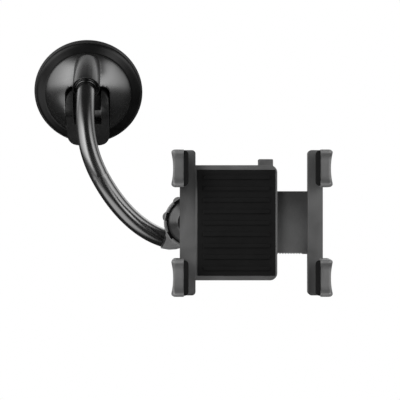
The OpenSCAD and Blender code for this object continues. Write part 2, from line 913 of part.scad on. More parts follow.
suction_pad();
base_ring();
base_screws();
dome_cover();
root_ferrule();
plunger();
lever_pin();
lever();
core_lower();
core_middle();
core_upper();
arm_sleeve();
head_elbow();
socket_cup();
friction_cup();
clamp_nut();
ball_stud();
stud_screw();
rear_shell();
front_shell();
shell_screws();
cushion();
fixed_jaw();
fixed_grip_upper();
fixed_grip_lower();
sliding_jaw();
sliding_grip_upper();
sliding_grip_lower();
jaw_springs();
release_button();
button_spring();
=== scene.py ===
# %% [markdown]
# A windscreen phone mount. A lever-locked suction base holds a bent, glossy arm. The arm ends in
# a ball joint with a lobed nut, and the ball carries a sprung clamp with four waisted fingers.
# The exact pieces come from the imported model, which this lesson loads as a fixed frame. Blender
# adds what the exact model can't: soft edges, the sleeve split in two at its bend, the moulded
# fingers and finishes.

# %% Load the frame
import math
import bpy
import bmesh
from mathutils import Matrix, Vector


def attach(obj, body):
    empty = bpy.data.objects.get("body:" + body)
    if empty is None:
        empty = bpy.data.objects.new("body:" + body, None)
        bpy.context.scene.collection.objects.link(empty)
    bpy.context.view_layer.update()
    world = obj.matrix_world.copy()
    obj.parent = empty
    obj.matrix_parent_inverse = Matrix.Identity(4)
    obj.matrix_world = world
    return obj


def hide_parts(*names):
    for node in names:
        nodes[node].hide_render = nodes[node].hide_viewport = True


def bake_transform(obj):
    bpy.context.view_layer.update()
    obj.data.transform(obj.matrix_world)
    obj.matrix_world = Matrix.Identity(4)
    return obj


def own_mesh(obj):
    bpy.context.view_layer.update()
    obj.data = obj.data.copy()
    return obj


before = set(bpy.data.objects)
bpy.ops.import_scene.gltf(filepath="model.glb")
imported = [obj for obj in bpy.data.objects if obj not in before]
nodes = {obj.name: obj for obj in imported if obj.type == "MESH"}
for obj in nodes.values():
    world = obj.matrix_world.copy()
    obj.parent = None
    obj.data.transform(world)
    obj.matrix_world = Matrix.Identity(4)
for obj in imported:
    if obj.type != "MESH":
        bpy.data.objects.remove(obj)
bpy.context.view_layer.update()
scene = bpy.context.scene

# %% [markdown]
# The camera comes first, because every later choice is judged through it. The mount is seen
# square on, with the phone clamp nearest. A long lens keeps the clamp and the base, which lies
# further back, close to their true proportions.

# %% Camera
CAMERA_AT = Vector((0.0679, -0.918, -0.06625))
LENS = 135.6

camera_data = bpy.data.cameras.new("camera")
camera_data.lens = LENS
camera_data.sensor_width = 36
camera_data.clip_end = 20
camera = bpy.data.objects.new("camera", camera_data)
camera.location = CAMERA_AT
camera.rotation_euler = (math.radians(90), 0, 0)
scene.collection.objects.link(camera)
scene.camera = camera
print("camera at", tuple(round(v, 3) for v in camera.location))

# %% [markdown]
# The studio is a pale floor under a plain bright surround. Dark plastic shows mostly what it
# reflects, so the surround also acts as two huge curved softboxes, one on each side of the
# camera, with a dark gap between them. They draw the two broad stripes on the arm and the soft
# glows on the dome. The surround is plain white to the camera, so edges stay dark and crisp.

# %% Studio floor and surround
FLOOR_Z = -0.75
FLOOR_HALF = 1.6
FLOOR_MIDDLE = (0.05, -0.65, FLOOR_Z)
WHITE = (0.9, 0.9, 0.9, 1)


def plain_material(name, colour, roughness):
    made = bpy.data.materials.new(name)
    made.use_nodes = True
    shader = made.node_tree.nodes["Principled BSDF"]
    shader.inputs["Base Color"].default_value = colour
    shader.inputs["Roughness"].default_value = roughness
    return made


floor_mesh = bpy.data.meshes.new("floor")
bm = bmesh.new()
bmesh.ops.create_grid(bm, x_segments=1, y_segments=1, size=FLOOR_HALF)
bmesh.ops.translate(bm, verts=bm.verts, vec=FLOOR_MIDDLE)
bm.to_mesh(floor_mesh)
bm.free()
floor_mesh.materials.append(plain_material("floor_pale", WHITE, 0.9))
floor = bpy.data.objects.new("floor", floor_mesh)
scene.collection.objects.link(floor)
floor.visible_glossy = False

scene.view_settings.view_transform = "Standard"
print("floor at", FLOOR_Z)

# %% [markdown]
# The softboxes are drawn by direction. The bearing is the angle round from the camera, and the
# lift is the height above the horizon. Each softbox fades in and out along both, and it is
# brighter above the horizon than below it.

# %% Softboxes in the surround
def maths(tree, operation, a, b=None):
    """A Math node on sockets or plain numbers."""
    node = tree.nodes.new("ShaderNodeMath")
    node.operation = operation
    for i, value in enumerate((a, b)):
        if value is None:
            continue
        if hasattr(value, "links"):
            tree.links.new(value, node.inputs[i])
        else:
            node.inputs[i].default_value = value
    return node.outputs[0]


def ranged(tree, value, low, high, new_low, new_high, smooth=False):
    """A clamped Map Range on a value."""
    node = tree.nodes.new("ShaderNodeMapRange")
    node.interpolation_type = "SMOOTHSTEP" if smooth else "LINEAR"
    ends = {"From Min": low, "From Max": high, "To Min": new_low, "To Max": new_high}
    for label, number in ends.items():
        node.inputs[label].default_value = number
    tree.links.new(value, node.inputs["Value"])
    return node.outputs[0]


def product(tree, first, *others):
    """The product of a socket and more sockets or plain numbers."""
    for other in others:
        first = maths(tree, "MULTIPLY", first, other)
    return first


world = bpy.data.worlds.new("surround")
scene.world = world
world.use_nodes = True
sky = world.node_tree
sky.nodes.clear()
seen = sky.nodes.new("ShaderNodeBackground")
seen.inputs["Color"].default_value = (1, 1, 1, 1)
seen.inputs["Strength"].default_value = 1.0
felt = sky.nodes.new("ShaderNodeBackground")
felt.inputs["Color"].default_value = (1, 1, 1, 1)
way = sky.nodes.new("ShaderNodeTexCoord")
parts = sky.nodes.new("ShaderNodeSeparateXYZ")
sky.links.new(way.outputs["Generated"], parts.inputs[0])
across, back, up = parts.outputs
toward = maths(sky, "MULTIPLY", back, -1.0)
bearing = maths(sky, "MULTIPLY", maths(sky, "ARCTAN2", across, toward), math.degrees(1))

RIGHT_START, RIGHT_FULL = 9, 30
LEFT_START, LEFT_FULL = 18, 42
FAR_FULL, FAR_END = 88, 122
RIGHT_LEAN = 30
FAR_LEAN_SHARE = 0.45
BOX_STRENGTH = 5.4
FAR_SHARE = 0.38
LOW_SHARE = 0.45
HIGH_BEHIND = 2.2
AMBIENT = 0.05


def softbox(side, start, full, lean):
    """The brightness of one softbox along the bearing, fullest near the camera."""
    leaning = ranged(sky, up, 0.15, 0.55, 0.0, lean, True)
    turn = maths(sky, "MULTIPLY", bearing, side)
    rise = ranged(sky, maths(sky, "SUBTRACT", turn, leaning), start, full, 0.0, 1.0, True)
    fade = ranged(sky, turn, full, FAR_FULL, 1.0, FAR_SHARE)
    closer = maths(sky, "MULTIPLY", leaning, FAR_LEAN_SHARE)
    fall = ranged(sky, maths(sky, "ADD", turn, closer), FAR_FULL, FAR_END, 1.0, 0.0, True)
    return product(sky, rise, fade, fall)


right_box = softbox(1, RIGHT_START, RIGHT_FULL, RIGHT_LEAN)
left_box = softbox(-1, LEFT_START, LEFT_FULL, 0)
boxes = maths(sky, "ADD", right_box, left_box)
over = ranged(sky, up, 0.87, 0.6, 0.0, 1.0, True)
horizon = ranged(sky, up, -0.14, 0.08, 0.06, 1.0, True)
under = ranged(sky, up, -0.8, -0.3, 0.0, 1.0, True)
main_glow = product(sky, boxes, over, horizon, under)
low_rise = ranged(sky, bearing, 3, -17, 0.0, 1.0, True)
low_fall = ranged(sky, bearing, -88, -62, 0.0, 1.0, True)
low_top = ranged(sky, up, -0.2, -0.42, 0.0, 1.0, True)
low_bottom = ranged(sky, up, -0.97, -0.8, 0.0, 1.0, True)
low_glow = product(sky, low_rise, low_fall, low_top, low_bottom, LOW_SHARE)
glow = maths(sky, "MULTIPLY", maths(sky, "ADD", main_glow, low_glow), BOX_STRENGTH)
behind = ranged(sky, back, 0.2, 0.8, 0.0, 1.0, True)
high_up = ranged(sky, up, 0.1, 0.6, 0.0, 1.0, True)
high_behind = product(sky, behind, high_up, HIGH_BEHIND)
total = maths(sky, "ADD", maths(sky, "ADD", glow, high_behind), AMBIENT)
sky.links.new(total, felt.inputs["Strength"])
ray = sky.nodes.new("ShaderNodeLightPath")
mix = sky.nodes.new("ShaderNodeMixShader")
out = sky.nodes.new("ShaderNodeOutputWorld")
sky.links.new(ray.outputs["Is Camera Ray"], mix.inputs["Fac"])
sky.links.new(felt.outputs[0], mix.inputs[1])
sky.links.new(seen.outputs[0], mix.inputs[2])
sky.links.new(mix.outputs[0], out.inputs["Surface"])
print("surround nodes:", len(sky.nodes))

# %% [markdown]
# Every finish here is dark moulded plastic, rubber or steel, and they share three small effects.
# Grain is the fine texture of a spark-eroded mould. Edge wear brightens the corners that hands
# rub. Smudge is a soft, cloudy change in gloss left by handling. Each one is a node group, built
# once and placed in each material with its own values.

# %% Shared effects
def group_with(name, inputs, outputs):
    """An empty shader group with float inputs (name, value) and outputs (name, socket type)."""
    made = bpy.data.node_groups.new(name, "ShaderNodeTree")
    for label, value in inputs:
        socket = made.interface.new_socket(label, in_out="INPUT", socket_type="NodeSocketFloat")
        socket.default_value = value
    for label, kind in outputs:
        made.interface.new_socket(label, in_out="OUTPUT", socket_type=kind)
    start = made.nodes.new("NodeGroupInput")
    end = made.nodes.new("NodeGroupOutput")
    return made, start, end


VALUE = "NodeSocketFloat"
grain_group, start, end = group_with(
    "mould_grain", [("Scale", 2500.0), ("Coarse", 0.4)], [("Height", VALUE), ("Tone", VALUE)])
place = grain_group.nodes.new("ShaderNodeTexCoord")
fine = grain_group.nodes.new("ShaderNodeTexNoise")
fine.inputs["Detail"].default_value = 3
cells = grain_group.nodes.new("ShaderNodeTexVoronoi")
grain_group.links.new(place.outputs["Object"], fine.inputs["Vector"])
grain_group.links.new(place.outputs["Object"], cells.inputs["Vector"])
grain_group.links.new(start.outputs["Scale"], fine.inputs["Scale"])
cell_scale = maths(grain_group, "MULTIPLY", start.outputs["Scale"], 0.6)
grain_group.links.new(cell_scale, cells.inputs["Scale"])
coarse = maths(grain_group, "MULTIPLY", cells.outputs["Distance"], start.outputs["Coarse"])
grain_group.links.new(maths(grain_group, "ADD", fine.outputs["Fac"], coarse), end.inputs["Height"])
tone = ranged(grain_group, fine.outputs["Fac"], 0.3, 0.7, 0.85, 1.15)
grain_group.links.new(tone, end.inputs["Tone"])

wear_group, start, end = group_with(
    "edge_wear", [("Radius", 0.0006), ("Amount", 0.5)], [("Mask", VALUE)])
rounded = wear_group.nodes.new("ShaderNodeBevel")
rounded.samples = 6
true_way = wear_group.nodes.new("ShaderNodeNewGeometry")
dot = wear_group.nodes.new("ShaderNodeVectorMath")
dot.operation = "DOT_PRODUCT"
place = wear_group.nodes.new("ShaderNodeTexCoord")
patches = wear_group.nodes.new("ShaderNodeTexNoise")
patches.inputs["Scale"].default_value = 180
wear_group.links.new(start.outputs["Radius"], rounded.inputs["Radius"])
wear_group.links.new(rounded.outputs["Normal"], dot.inputs[0])
wear_group.links.new(true_way.outputs["Normal"], dot.inputs[1])
wear_group.links.new(place.outputs["Object"], patches.inputs["Vector"])
edge = ranged(wear_group, dot.outputs["Value"], 0.99, 0.86, 0.0, 1.0)
patchy = ranged(wear_group, patches.outputs["Fac"], 0.4, 0.65, 0.3, 1.0)
worn = product(wear_group, edge, patchy, start.outputs["Amount"])
wear_group.links.new(worn, end.inputs["Mask"])

smudge_group, start, end = group_with(
    "handling_smudge", [("Scale", 60.0), ("Low", 0.3), ("High", 0.5)],
    [("Gloss", VALUE), ("Cloud", VALUE)])
place = smudge_group.nodes.new("ShaderNodeTexCoord")
cloud = smudge_group.nodes.new("ShaderNodeTexNoise")
cloud.inputs["Detail"].default_value = 4
cloud.inputs["Distortion"].default_value = 0.6
smudge_group.links.new(place.outputs["Object"], cloud.inputs["Vector"])
smudge_group.links.new(start.outputs["Scale"], cloud.inputs["Scale"])
part = ranged(smudge_group, cloud.outputs["Fac"], 0.35, 0.68, 0.0, 1.0)
span = maths(smudge_group, "SUBTRACT", start.outputs["High"], start.outputs["Low"])
risen = maths(smudge_group, "MULTIPLY", part, span)
gloss = maths(smudge_group, "ADD", start.outputs["Low"], risen)
smudge_group.links.new(gloss, end.inputs["Gloss"])
smudge_group.links.new(part, end.inputs["Cloud"])
print("effects:", grain_group.name, wear_group.name, smudge_group.name)

# %% [markdown]
# One function turns a short list of choices into a finish: two close shades that the smudge
# cloud mixes, a lighter worn shade at the edges, a range of roughness and a depth of grain.
# The constants, such as the coat and the metal, sit on the shader's own sockets.

# %% Finish maker
SMUDGE_SCALE = 70.0


def place_group(tree, group, **values):
    """Places a node group in a tree and sets its inputs."""
    node = tree.nodes.new("ShaderNodeGroup")
    node.node_tree = group
    for label, value in values.items():
        node.inputs[label].default_value = value
    return node


COLOUR_A, COLOUR_B, COLOUR_OUT = 6, 7, 2


def mix_colour(tree, fac, a, b):
    """Mixes two colours, each a socket or a plain RGBA value, by a factor socket."""
    node = tree.nodes.new("ShaderNodeMix")
    node.data_type = "RGBA"
    tree.links.new(fac, node.inputs["Factor"])
    for socket, value in ((COLOUR_A, a), (COLOUR_B, b)):
        if hasattr(value, "links"):
            tree.links.new(value, node.inputs[socket])
        else:
            node.inputs[socket].default_value = value
    return node.outputs[COLOUR_OUT]


def grey(value, warm=0.0):
    """A grey as RGBA, a little redder and less blue when warm."""
    return (value * (1 + warm), value, value * (1 - warm), 1)


def finish(name, dark, light, worn, rough, grain_scale, grain_depth, wear=0.4, coarse=0.4,
           metallic=0.0, coat=0.0, coat_rough=0.1, specular=0.5, warm=0.0, wear_radius=0.0006):
    """A moulded or machined finish in two close shades with grain, smudge and edge wear."""
    made = bpy.data.materials.new(name)
    made.use_nodes = True
    tree = made.node_tree
    shader = tree.nodes["Principled BSDF"]
    grain = place_group(tree, grain_group, Scale=grain_scale, Coarse=coarse)
    edges = place_group(tree, wear_group, Radius=wear_radius, Amount=wear)
    touch = place_group(tree, smudge_group, Scale=SMUDGE_SCALE, Low=rough[0], High=rough[1])
    base = mix_colour(tree, touch.outputs["Cloud"], grey(dark, warm), grey(light, warm))
    toned = tree.nodes.new("ShaderNodeVectorMath")
    toned.operation = "SCALE"
    tree.links.new(base, toned.inputs[0])
    tree.links.new(grain.outputs["Tone"], toned.inputs["Scale"])
    colour = mix_colour(tree, edges.outputs["Mask"], toned.outputs[0], grey(worn, warm))
    tree.links.new(colour, shader.inputs["Base Color"])
    tree.links.new(touch.outputs["Gloss"], shader.inputs["Roughness"])
    bump = tree.nodes.new("ShaderNodeBump")
    bump.inputs["Strength"].default_value = 1.0
    bump.inputs["Distance"].default_value = grain_depth
    tree.links.new(grain.outputs["Height"], bump.inputs["Height"])
    tree.links.new(bump.outputs["Normal"], shader.inputs["Normal"])
    shader.inputs["Metallic"].default_value = metallic
    shader.inputs["Coat Weight"].default_value = coat
    shader.inputs["Coat Roughness"].default_value = coat_rough
    shader.inputs["Specular IOR Level"].default_value = specular
    return made


# %% [markdown]
# The finishes themselves, from the window out to the phone. The pad and grips are matte rubber,
# the ring is finely grained black plastic and the dome is satin charcoal. The sleeve is glossy
# black, the joint is a lighter matte grey and the clamp is satin dark grey.

# %% The finishes
MICRON = 1e-6
rubber = finish(
    "pad_rubber", 0.003, 0.005, 0.02, (0.6, 0.75), 1800, 8 * MICRON, wear=0.3, coarse=0.8,
    specular=0.10)
window_rubber = finish(
    "window_rubber", 0.006, 0.010, 0.03, (0.45, 0.6), 1500, 6 * MICRON, wear=0.3, coarse=0.8,
    specular=0.3)
ring_black = finish(
    "ring_black", 0.002, 0.004, 0.04, (0.28, 0.34), 2200, 2 * MICRON, wear=0.35, specular=0.16)
dome_satin = finish(
    "dome_satin", 0.004, 0.006, 0.05, (0.25, 0.31), 3200, 2 * MICRON, wear=0.3, specular=1.0)
lever_satin = finish(
    "lever_satin", 0.011, 0.016, 0.06, (0.40, 0.52), 2400, 7 * MICRON, wear=0.5, specular=0.3)
sleeve_gloss = finish(
    "sleeve_gloss", 0.003, 0.004, 0.03, (0.20, 0.24), 1500, 0.2 * MICRON, wear=0.0, specular=1.0,
    coat=1.0, coat_rough=0.2)
joint_grey = finish("joint_grey", 0.14, 0.165, 0.24, (0.42, 0.56), 2600, 6 * MICRON)
clamp_grey = finish("clamp_grey", 0.055, 0.068, 0.13, (0.36, 0.5), 2800, 4 * MICRON)
nut_grey = finish("nut_grey", 0.14, 0.165, 0.24, (0.20, 0.27), 2600, 3 * MICRON)
steel = finish(
    "turned_steel", 0.40, 0.52, 0.65, (0.22, 0.36), 900, 3 * MICRON, wear=0.3, metallic=1.0)
blackened = finish(
    "blackened_steel", 0.05, 0.08, 0.3, (0.28, 0.4), 1400, 2 * MICRON, wear=0.5, metallic=1.0)
collar_black = finish(
    "collar_black", 0.002, 0.003, 0.03, (0.16, 0.22), 2400, 0.5 * MICRON, wear=0.1, specular=0.7)
spring_wire = finish(
    "spring_wire", 0.34, 0.46, 0.6, (0.25, 0.4), 1400, 3 * MICRON, wear=0.2, metallic=1.0)
liner_white = finish(
    "liner_acetal", 0.52, 0.6, 0.65, (0.4, 0.5), 1600, 4 * MICRON, wear=0.2, warm=0.04)
print("finishes:", len(bpy.data.materials))

# %% [markdown]
# The nut is turned about the ball, so its darker parts are easy to name by place. The cone in the
# middle is a darker shade. The groove and pockets around it get painted shade, nearly black, where
# their walls would lie in shadow. Each is a band of distance from the ball's axis, and the recesses
# also lie deeper than the nut's face.

# %% Dark cone and painted shade in the nut's recesses
BALL = Vector((0.0628, -0.078, -0.0785))
CONE_END = (0.01252, 0.01242)
BAND_START = (0.01242, 0.0125)
BAND_END = (0.0145, 0.0144)
BELOW_FACE = (-0.0038, -0.0034)
CONE_GREY, RECESS_SHADE_GREY = 0.016, 0.001

nut_bands, start, end = group_with("nut_bands", [], [("Cone", VALUE), ("Recess_Shade", VALUE)])
place = nut_bands.nodes.new("ShaderNodeTexCoord")
parts = nut_bands.nodes.new("ShaderNodeSeparateXYZ")
nut_bands.links.new(place.outputs["Object"], parts.inputs[0])
across = maths(nut_bands, "SUBTRACT", parts.outputs["X"], BALL.x)
above = maths(nut_bands, "SUBTRACT", parts.outputs["Z"], BALL.z)
deep = maths(nut_bands, "SUBTRACT", parts.outputs["Y"], BALL.y)
squares = maths(
    nut_bands, "ADD", product(nut_bands, across, across), product(nut_bands, above, above))
radius = maths(nut_bands, "SQRT", squares)
cone = ranged(nut_bands, radius, *CONE_END, 0.0, 1.0)
band_inner = ranged(nut_bands, radius, *BAND_START, 0.0, 1.0)
band_outer = ranged(nut_bands, radius, *BAND_END, 0.0, 1.0)
below = ranged(nut_bands, deep, *BELOW_FACE, 0.0, 1.0)
nut_bands.links.new(cone, end.inputs["Cone"])
nut_bands.links.new(product(nut_bands, band_inner, band_outer, below), end.inputs["Recess_Shade"])


def shade_by(material, mask, value):
    """Mixes a material's colour towards one grey by a mask."""
    tree = material.node_tree
    base = tree.nodes["Principled BSDF"].inputs["Base Color"]
    mixed = mix_colour(tree, mask, base.links[0].from_socket, grey(value))
    tree.links.new(mixed, base)


bands = place_group(nut_grey.node_tree, nut_bands)
shade_by(nut_grey, bands.outputs["Cone"], CONE_GREY)
# Painted shade: the groove and pockets are darkened nearly to black.
shade_by(nut_grey, bands.outputs["Recess_Shade"], RECESS_SHADE_GREY)
print("nut bands placed")

# %% [markdown]
# Now each exact piece takes its finish by name. The pieces that aren't listed are the steel ones:
# the arm's core, the ball stud and the screws.

# %% Finishes on the exact pieces
# The plunger is hard plastic; its darkest rubber finish is painted shade in the lever's slot.
FINISH_OF = {
    "suction_pad": window_rubber, "base_ring": ring_black, "plunger": rubber,
    "dome_cover": dome_satin, "root_ferrule": dome_satin, "lever": lever_satin,
    "lever_pin": blackened, "arm_sleeve": sleeve_gloss, "head_elbow": joint_grey,
    "socket_cup": joint_grey, "clamp_nut": nut_grey, "friction_cup": liner_white,
    "rear_shell": clamp_grey, "front_shell": clamp_grey, "release_button": clamp_grey,
    "fixed_jaw": clamp_grey, "sliding_jaw": clamp_grey, "cushion": rubber,
    "fixed_grip_upper": rubber, "fixed_grip_lower": rubber, "sliding_grip_upper": rubber,
    "sliding_grip_lower": rubber, "jaw_springs": spring_wire, "button_spring": spring_wire,
}
for name, node in nodes.items():
    node.data.materials.clear()
    node.data.materials.append(FINISH_OF.get(name, steel))
print("finishes on", len(nodes), "nodes")

# %% [markdown]
# The exact pieces have razor-sharp corners, and nothing moulded does. A Weld modifier joins the
# loose triangles, and a Bevel modifier rounds each corner that is sharper than its limit. The
# bevel's width is each piece's own: hand pieces are softer than the shells and screws.

# %% Soft edges on the exact pieces
SOFT_EDGES = {
    "lever": 0.0009, "base_ring": 0.0012, "dome_cover": 0.0004, "suction_pad": 0.0003,
    "clamp_nut": 0.00035, "socket_cup": 0.0003, "rear_shell": 0.0008, "front_shell": 0.0005,
    "release_button": 0.0006, "plunger": 0.0005, "ball_stud": 0.0002, "lever_pin": 0.0003,
    "base_screws": 0.0002, "shell_screws": 0.0002, "stud_screw": 0.0002,
}
WELD_AT = 0.000004
CORNER = math.radians(28)


def soften(node, width, segments=3):
    """Welds a node's triangles and rounds its corners, all in modifiers."""
    for polygon in node.data.polygons:
        polygon.use_smooth = True
    weld = node.modifiers.new("weld", "WELD")
    weld.merge_threshold = WELD_AT
    round_off = node.modifiers.new("soft_edge", "BEVEL")
    round_off.width = width
    round_off.segments = segments
    round_off.limit_method = "ANGLE"
    round_off.angle_limit = CORNER
    round_off.use_clamp_overlap = True
    round_off.harden_normals = True


for name, width in SOFT_EDGES.items():
    soften(nodes[name], width)
print("softened", len(SOFT_EDGES), "nodes")

# %% [markdown]
# The fingers' raised ends get a painted highlight, a little lighter, and the hollow next to each
# end gets painted shade, a little darker. A shade by height, measured from the middle of each
# finger, adds this to a finish of the fingers' own.

# %% Painted highlight and shade on the fingers
MM = 0.001
CLAMP_MIDDLE = Vector((0.0955, -0.109, -0.0785))
FINGER_LEVEL = 29.1
HOLLOW_SHADE_GREY, HOLLOW_SHADE_SHARE = 0.055, 0.75
KNOB_HIGHLIGHT_GREY, KNOB_HIGHLIGHT_SHARE = 0.15, 0.6

finger_grey = finish(
    "finger_grey", 0.085, 0.105, 0.2, (0.30, 0.42), 2800, 3 * MICRON, wear=0.6)
finger_shading_group, start, end = group_with("finger_rub", [], [("Hollow", VALUE), ("Knob_Highlight", VALUE)])
place = finger_shading_group.nodes.new("ShaderNodeTexCoord")
parts = finger_shading_group.nodes.new("ShaderNodeSeparateXYZ")
finger_shading_group.links.new(place.outputs["Object"], parts.inputs[0])
height = maths(finger_shading_group, "ABSOLUTE", maths(finger_shading_group, "SUBTRACT", parts.outputs["Z"], CLAMP_MIDDLE.z))
along = maths(finger_shading_group, "DIVIDE", maths(finger_shading_group, "SUBTRACT", height, FINGER_LEVEL * MM), MM)
reach = maths(finger_shading_group, "ABSOLUTE", along)
hollow_in = ranged(finger_shading_group, reach, 3.5, 6.6, 0.0, 1.0, True)
hollow_out = ranged(finger_shading_group, reach, 8.6, 7.2, 0.0, 1.0, True)
finger_shading_group.links.new(product(finger_shading_group, hollow_in, hollow_out), end.inputs["Hollow"])
finger_shading_group.links.new(ranged(finger_shading_group, reach, 7.4, 8.8, 0.0, 1.0, True), end.inputs["Knob_Highlight"])
rub = place_group(finger_grey.node_tree, finger_shading_group)
painted_hollow_shade = product(finger_grey.node_tree, rub.outputs["Hollow"], HOLLOW_SHADE_SHARE)
painted_knob_highlight = product(finger_grey.node_tree, rub.outputs["Knob_Highlight"], KNOB_HIGHLIGHT_SHARE)
# Painted shade in the hollows next to the ends, and painted highlight on the raised ends.
shade_by(finger_grey, painted_hollow_shade, HOLLOW_SHADE_GREY)
shade_by(finger_grey, painted_knob_highlight, KNOB_HIGHLIGHT_GREY)
print("finger finish placed")

# %% [markdown]
# Each finger is one small moulding: a wall along the phone's edge, a lip over its front and a
# foot that joins the jaw's bar. It starts as a flat outline that is extruded to its height.
# The long outer corner takes a wide bevel, the other edges a narrow one, and then the middle
# is drawn in, so that the two ends stand proud like the ends of a bone.

# %% A waisted finger
FINGER_HEIGHT = 20.0
OUTER_X, FRONT_Y = 43.0, -12.5
FINGER_OUTLINE = (
    (OUTER_X, 5.04), (OUTER_X, FRONT_Y), (36.2, FRONT_Y), (36.2, -10.4), (39.9, -10.4),
    (39.9, 1.46), (36.6, 1.46), (36.6, 5.04))
OUTER_ROUND, END_ROUND, EDGE_ROUND = 2.6, 2.2, 0.45
SIDE_FROM, FRONT_FROM = 40.4, -10.9
SLICE, SLICES = 0.5, 18
NEAR = 0.01
WAIST_SIDE = 1.15
WAIST_FRONT = 1.15
WAIST_REACH = 9.0
KNOB_START, KNOB_END = 5.8, 8.6


def sharp_edges(bm, over=30):
    """The edges where two faces meet at more than this many degrees."""
    limit = math.radians(over)
    return [e for e in bm.edges if len(e.link_faces) == 2 and e.calc_face_angle(0) > limit]


def is_level(edge):
    """True where an edge keeps one height."""
    return abs(edge.verts[0].co.z - edge.verts[1].co.z) < NEAR


def bevel(bm, edges, width, segments):
    """Rounds some edges of a bmesh."""
    bmesh.ops.bevel(bm, geom=edges, offset=width, offset_type="OFFSET", affect="EDGES",
                    segments=segments, profile=0.5, material=-1, clamp_overlap=True)


def finger_mesh(bm):
    """Builds one right-hand finger about its own middle height, in millimetres."""
    low = -FINGER_HEIGHT / 2
    corners = [bm.verts.new((x, y, low)) for x, y in FINGER_OUTLINE]
    base = bm.faces.new(corners)
    grown = bmesh.ops.extrude_face_region(bm, geom=[base])
    raised = [g for g in grown["geom"] if isinstance(g, bmesh.types.BMVert)]
    bmesh.ops.translate(bm, verts=raised, vec=(0, 0, FINGER_HEIGHT))
    bmesh.ops.recalc_face_normals(bm, faces=bm.faces)
    outer = [e for e in bm.edges
             if all(abs(v.co.x - OUTER_X) < NEAR and abs(v.co.y - FRONT_Y) < NEAR for v in e.verts)]
    bevel(bm, outer, OUTER_ROUND, 6)
    ends = [e for e in sharp_edges(bm) if all(on_outside(v) for v in e.verts) and is_level(e)]
    bevel(bm, ends, END_ROUND, 7)
    bevel(bm, sharp_edges(bm), EDGE_ROUND, 3)
    for step in range(-SLICES, SLICES + 1):
        bmesh.ops.bisect_plane(
            bm, geom=bm.verts[:] + bm.edges[:] + bm.faces[:], plane_co=(0, 0, step * SLICE),
            plane_no=(0, 0, 1))
    for v in bm.verts:
        drawn = max(0.0, 1 - (v.co.z / WAIST_REACH) ** 2)
        if v.co.x > SIDE_FROM:
            v.co.x -= WAIST_SIDE * drawn * (v.co.x - SIDE_FROM) / (OUTER_X - SIDE_FROM)
        along = min(max((KNOB_END - abs(v.co.z)) / (KNOB_END - KNOB_START), 0), 1)
        sunk = along * along * (3 - 2 * along)
        if v.co.y < FRONT_FROM:
            v.co.y += WAIST_FRONT * sunk * (FRONT_FROM - v.co.y) / (FRONT_FROM - FRONT_Y)


def on_outside(v):
    """True on the outline's front and outer sides, where the phone isn't."""
    return v.co.x > 42.9 or v.co.y < -12.4 or (v.co.x > 40.3 and v.co.y < -9.8)


def finished(name, bm, material, body):
    """Turns a bmesh in millimetres about the clamp's middle into a piece that rides on a body."""
    bmesh.ops.scale(bm, vec=(MM, MM, MM), verts=bm.verts)
    bmesh.ops.translate(bm, vec=CLAMP_MIDDLE, verts=bm.verts)
    mesh = bpy.data.meshes.new(name)
    bm.to_mesh(mesh)
    bm.free()
    for polygon in mesh.polygons:
        polygon.use_smooth = True
    mesh.materials.append(material)
    made = bpy.data.objects.new(name, mesh)
    scene.collection.objects.link(made)
    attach(made, body)
    print(name, len(mesh.polygons), "faces on", body)
    return made


def weighted(piece):
    """Keeps the broad faces of a bevelled piece flat in the shading."""
    mod = piece.modifiers.new("flat_faces", "WEIGHTED_NORMAL")
    mod.keep_sharp = True
    mod.weight = 80
    return piece


def set_at(bm, side, level):
    """Moves a right-hand piece to its level, and mirrors it for the left-hand side."""
    bmesh.ops.translate(bm, vec=(0, 0, level), verts=bm.verts)
    if side < 0:
        bmesh.ops.scale(bm, vec=(-1, 1, 1), verts=bm.verts)
        bmesh.ops.reverse_faces(bm, faces=bm.faces)


def finger(name, side, level, body):
    """One finger, on the left when side is -1 and on the right when it is 1."""
    bm = bmesh.new()
    finger_mesh(bm)
    set_at(bm, side, level)
    return weighted(finished(name, bm, finger_grey, body))


SIDES = ((-1, "left", "fixed", "cradle"), (1, "right", "sliding", "jaw"))
LEVELS = ((FINGER_LEVEL, "upper"), (-FINGER_LEVEL, "lower"))
for side, hand, jaw, body in SIDES:
    for level, end_name in LEVELS:
        finger(f"finger_{hand}_{end_name}", side, level, body)

# %% [markdown]
# A soft grip lines each finger: it pads the phone's edge, wraps under the lip and shows in front
# as a dark inner border. Its inner corners are well rounded.

# %% The rubber grips
GRIP_TIP = 33.7
GRIP_OUTLINE = (
    (39.86, 1.0), (38.5, 1.0), (38.5, -9.2), (GRIP_TIP, -9.2), (GRIP_TIP, -11.9),
    (36.17, -11.9), (36.17, -10.37), (39.86, -10.37))
GRIP_HEIGHT = 18.8
GRIP_ROUND = 0.4


def grip(name, side, level, body, node):
    """The rubber lining of one finger, which stands for one exact grip."""
    bm = bmesh.new()
    corners = [bm.verts.new((x, y, -GRIP_HEIGHT / 2)) for x, y in GRIP_OUTLINE]
    grown = bmesh.ops.extrude_face_region(bm, geom=[bm.faces.new(corners)])
    raised = [g for g in grown["geom"] if isinstance(g, bmesh.types.BMVert)]
    bmesh.ops.translate(bm, verts=raised, vec=(0, 0, GRIP_HEIGHT))
    bmesh.ops.recalc_face_normals(bm, faces=bm.faces)
    inner = [e for e in bm.edges if all(v.co.x < GRIP_TIP + NEAR for v in e.verts) and is_level(e)]
    bevel(bm, inner, END_ROUND, 7)
    bevel(bm, sharp_edges(bm), GRIP_ROUND, 3)
    set_at(bm, side, level)
    made = weighted(finished(name, bm, rubber, body))
    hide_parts(node)
    return made


for side, hand, jaw, body in SIDES:
    for level, end_name in LEVELS:
        grip(f"grip_{hand}_{end_name}", side, level, body, f"{jaw}_grip_{end_name}")

